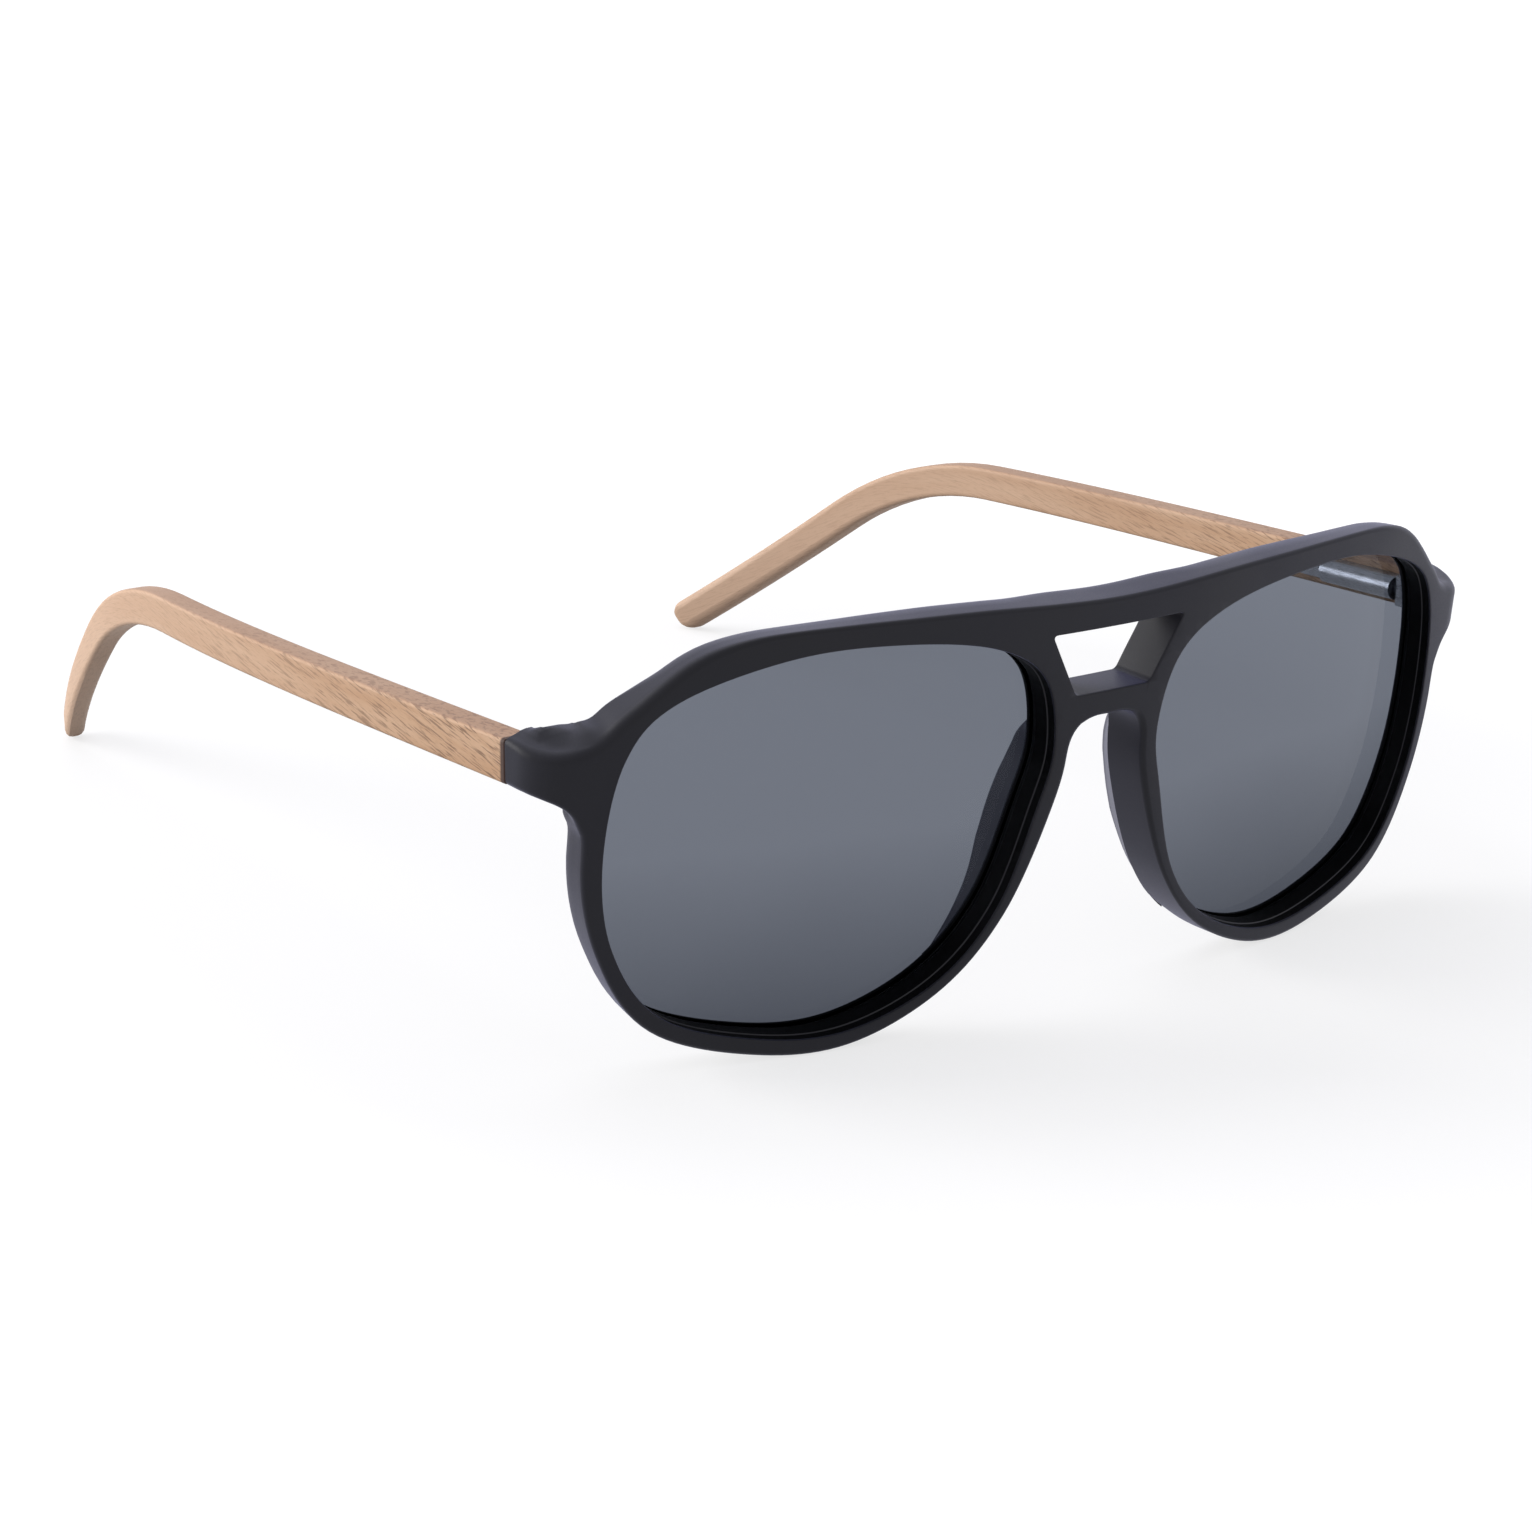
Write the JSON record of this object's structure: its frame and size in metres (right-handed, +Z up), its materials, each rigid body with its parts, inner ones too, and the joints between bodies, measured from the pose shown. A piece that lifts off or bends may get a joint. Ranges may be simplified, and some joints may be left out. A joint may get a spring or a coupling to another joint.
{
  "type": "sunglasses",
  "caption": "Aviator-shaped sunglasses with a matte black double-bridge front, grey lenses and folding wooden temples on spring hinges.",
  "frame": {"origin": "on the floor plane, under the middle of the whole object's box", "axes": "+X towards the wearer's left, +Y from the front back along the temples, +Z up"},
  "size_m": [0.1396, 0.1492, 0.0506],
  "materials": {
    "frame_plastic": "fine satin moulding",
    "pad_plastic": "fine satin moulding",
    "lens_tint": "polished, grey tint",
    "temple_wood": "oiled, fine open grain",
    "hinge_steel": "satin",
    "screw_steel": "turned",
    "spring_steel": "drawn wire",
    "stop_brass": "turned"
  },
  "bodies": {
    "front_assembly": {"front_frame": "frame_plastic", "lens_left": "lens_tint", "lens_right": "lens_tint", "nose_pad_left": "pad_plastic", "nose_pad_right": "pad_plastic", "front_leaf_left": "hinge_steel", "front_leaf_right": "hinge_steel", "hinge_screw_left": "screw_steel", "hinge_screw_right": "screw_steel"},
    "left_slider": {"hinge_slider_left": "hinge_steel", "slider_stop_left": "stop_brass"},
    "left_temple": {"temple_left": "temple_wood", "spring_housing_left": "hinge_steel", "housing_screws_left": "screw_steel", "hinge_spring_left": "spring_steel"},
    "right_slider": {"hinge_slider_right": "hinge_steel", "slider_stop_right": "stop_brass"},
    "right_temple": {"temple_right": "temple_wood", "spring_housing_right": "hinge_steel", "housing_screws_right": "screw_steel", "hinge_spring_right": "spring_steel"}
  },
  "joints": [
    {"name": "left_fold", "type": "hinge", "parent": "front_assembly", "child": "left_slider", "pos_m": [0.06445, -0.05566, 0.03628], "axis": [0, 0.0576, 0.9983], "range_deg": [0, 84]},
    {"name": "left_spring", "type": "slide", "parent": "left_slider", "child": "left_temple", "axis": [0, 0.9983, -0.0576], "range_m": [0, 0.002], "stiffness_N_per_m": 1500, "springref_m": -0.001, "deforming": ["hinge_spring_left"]},
    {"name": "right_fold", "type": "hinge", "parent": "front_assembly", "child": "right_slider", "pos_m": [-0.06445, -0.05566, 0.03628], "axis": [0, -0.0576, -0.9983], "range_deg": [0, 72]},
    {"name": "right_spring", "type": "slide", "parent": "right_slider", "child": "right_temple", "axis": [0, 0.9983, -0.0576], "range_m": [0, 0.002], "stiffness_N_per_m": 1500, "springref_m": -0.001, "deforming": ["hinge_spring_right"]}
  ]
}
